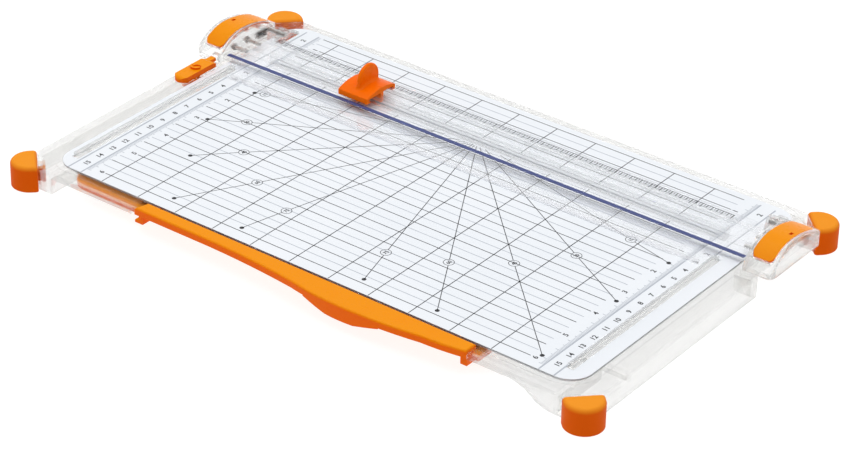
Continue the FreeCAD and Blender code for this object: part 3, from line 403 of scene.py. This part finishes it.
def print_grid(black, grey, front):
    """Lines one inch apart along Y, and a quarter of an inch apart along X."""
    strip_front = (strip_low.y - CUT_Y) / MM - STRIP_MARGIN
    strip_rear = (strip_high.y - CUT_Y) / MM + STRIP_MARGIN
    for inch in range(-5, 6):
        x = inch * INCH
        black.bar(board(x, front), board(x, strip_front), GRID_LINE * MM)
        black.bar(board(x, strip_rear), board(x, GRID_REAR), GRID_LINE * MM)
    for quarter in range(-24, 7):
        y = quarter * INCH / 4
        if strip_front < y < strip_rear:
            continue
        start = GRID_LEFT_PAST_NUMBERS if quarter % 4 == 0 else GRID_LEFT
        marks = black if quarter % 2 == 0 else grey
        marks.bar(board(start, y), board(GRID_RIGHT, y), GRID_LINE * MM)


def print_numbers(black):
    """Inch numbers beside the grid, and centimetre numbers outside them."""
    for inch in (-6, -5, -4, -3, -2, -1, 1):
        for x in INCH_NUMBERS_X:
            black.digits(str(abs(inch)), board(x, inch * INCH), NUMBER_HEIGHT * MM)
    for x in CENTIMETRE_NUMBERS_X:
        black.digits("2", board(x, REAR_NUMBER_Y), NUMBER_HEIGHT * MM)
        for centimetre in range(2, 16):
            black.digits(str(centimetre), board(x, centimetre * -10.0), NUMBER_HEIGHT * MM)


def print_scales(grey, front):
    """Bands beside the numbers, and a millimetre scale along two of them."""
    for x in BANDS_X:
        grey.bar(board(x, front), board(x, GRID_REAR + 1.0), BAND_LINE * MM)
    for millimetre in range(-155, 39):
        reach = 3.4 if millimetre % 10 == 0 else 2.6 if millimetre % 5 == 0 else 1.8
        for x, way in MILLIMETRE_SCALES:
            grey.bar(board(x, millimetre), board(x + way * reach, millimetre), SCALE_LINE * MM)


def print_protractor(black):
    """Lines at each angle, each with a number in a ring and a dot at its end."""
    for angle, (right_end, left_end) in ANGLE_ENDS.items():
        rise = math.sin(math.radians(angle))
        for end, side in ((right_end, 1), (left_end, -1)):
            heading = Vector((side * math.cos(math.radians(angle)), -rise))
            label = heading * LABEL_RADIUS
            begin = heading * ANGLE_START_Y / rise
            black.bar(board(*begin), board(*heading * (LABEL_RADIUS - RING_RADIUS)), ANGLE_LINE * MM)
            black.bar(board(*heading * (LABEL_RADIUS + RING_RADIUS)), board(*end), ANGLE_LINE * MM)
            black.disc(board(*end), DOT_RADIUS * MM)
            black.ring(board(*label), RING_RADIUS * MM, (RING_RADIUS - RING_LINE) * MM)
            black.digits(str(angle), board(*label), ANGLE_HEIGHT * MM)


def print_rail():
    """The inch scale along the back of the rail."""
    black = Marks("rail_scale", RAIL_FLANGE_TOP, INK_DEPTH["black"] * MM)
    end = 6 * INCH
    black.bar(board(-end, RAIL_SCALE_Y), board(end, RAIL_SCALE_Y), RAIL_SCALE_LINE * MM)
    for tick in range(-96, 97):
        reach, width = next((r, w) for every, r, w in RAIL_TICKS if tick % every == 0)
        x = tick * INCH / 16
        black.bar(board(x, RAIL_SCALE_Y - reach), board(x, RAIL_SCALE_Y), width * MM)
    scale = black.finish(BLACK_INK, "rail")
    scale.visible_shadow = False


print_board()
print_rail()


# ---------------------------------------------------------------- stage, light and camera

def make_floor():
    """A wide pale sheet, just under the feet."""
    half = 15.0
    data = bpy.data.meshes.new("floor")
    corners = [(-half, -half, 0.0), (half, -half, 0.0), (half, half, 0.0), (-half, half, 0.0)]
    data.from_pydata(corners, [], [(0, 1, 2, 3)])
    floor = bpy.data.objects.new("floor", data)
    floor.location.z = -0.2 * MM
    bpy.context.scene.collection.objects.link(floor)
    shader = Shader(
        "floor_paper", (0.85, 0.95, 50 * MM), IOR=1.3,
        Emission_Color=(1.0, 1.0, 1.0, 1.0), Emission_Strength=0.88)
    shader.set_colour((0.20, 0.20, 0.20), (0.19, 0.19, 0.19), 200 * MM)
    data.materials.append(shader.material)


def make_world():
    """White above and behind, grey in front, so that clear edges show."""
    world = bpy.data.worlds.new("studio")
    bpy.context.scene.world = world
    world.use_nodes = True
    tree = world.node_tree
    place = tree.nodes.new("ShaderNodeTexCoord")
    facing = tree.nodes.new("ShaderNodeVectorMath")
    facing.operation = "DOT_PRODUCT"
    facing.inputs[1].default_value = (-0.45, 0.60, 0.66)
    ramp = tree.nodes.new("ShaderNodeValToRGB")
    stops = ramp.color_ramp.elements
    stops[0].position, stops[0].color = 0.0, (0.46, 0.463, 0.47, 1.0)
    stops[1].position, stops[1].color = 0.60, (1.0, 1.0, 1.0, 1.0)
    middle = stops.new(0.28)
    middle.color = (0.74, 0.743, 0.75, 1.0)
    tree.links.new(place.outputs["Generated"], facing.inputs[0])
    tree.links.new(facing.outputs["Value"], ramp.inputs["Fac"])
    tree.links.new(ramp.outputs["Color"], tree.nodes["Background"].inputs["Color"])
    tree.nodes["Background"].inputs["Strength"].default_value = 0.80


def make_light(name, place, aim, width, depth, power):
    """A rectangular soft box that points at a place."""
    data = bpy.data.lights.new(name, "AREA")
    data.shape = "RECTANGLE"
    data.size = width
    data.size_y = depth
    data.energy = power
    light = bpy.data.objects.new(name, data)
    light.location = place
    light.rotation_euler = (Vector(aim) - Vector(place)).to_track_quat("-Z", "Y").to_euler()
    bpy.context.scene.collection.objects.link(light)


def make_camera():
    """The camera, looking down from the front right."""
    azimuth, elevation, roll = (math.radians(a) for a in (36.8583, 30.9445, 1.2441))
    distance = 1626.38 * MM
    aim = Vector((23.76, -26.635, 14.2)) * MM
    back = Vector((
        math.sin(azimuth) * math.cos(elevation),
        -math.cos(azimuth) * math.cos(elevation),
        math.sin(elevation)))
    right = Vector((math.cos(azimuth), math.sin(azimuth), 0.0))
    up = back.cross(right)
    across = right * math.cos(roll) + up * math.sin(roll)
    upward = up * math.cos(roll) - right * math.sin(roll)
    data = bpy.data.cameras.new("camera")
    data.lens = 133.98
    data.sensor_width = 36.0
    data.clip_end = 50.0
    camera = bpy.data.objects.new("camera", data)
    turn = Matrix((across, upward, back)).transposed().to_4x4()
    camera.matrix_world = Matrix.Translation(aim + back * distance) @ turn
    bpy.context.scene.collection.objects.link(camera)
    bpy.context.scene.camera = camera


make_floor()
make_world()
make_light("top_box", (0.0, 0.1, 1.9), (0.0, 0.0, 0.0), 2.6, 2.0, 24.0)
make_light("left_box", (-1.6, -1.0, 1.1), (0.0, 0.0, 0.0), 1.2, 1.0, 4.0)
make_camera()
scene = bpy.context.scene
scene.view_settings.view_transform = "Standard"
scene.cycles.transparent_max_bounces = 48
scene.cycles.transmission_bounces = 24
scene.cycles.glossy_bounces = 24
scene.cycles.max_bounces = 32
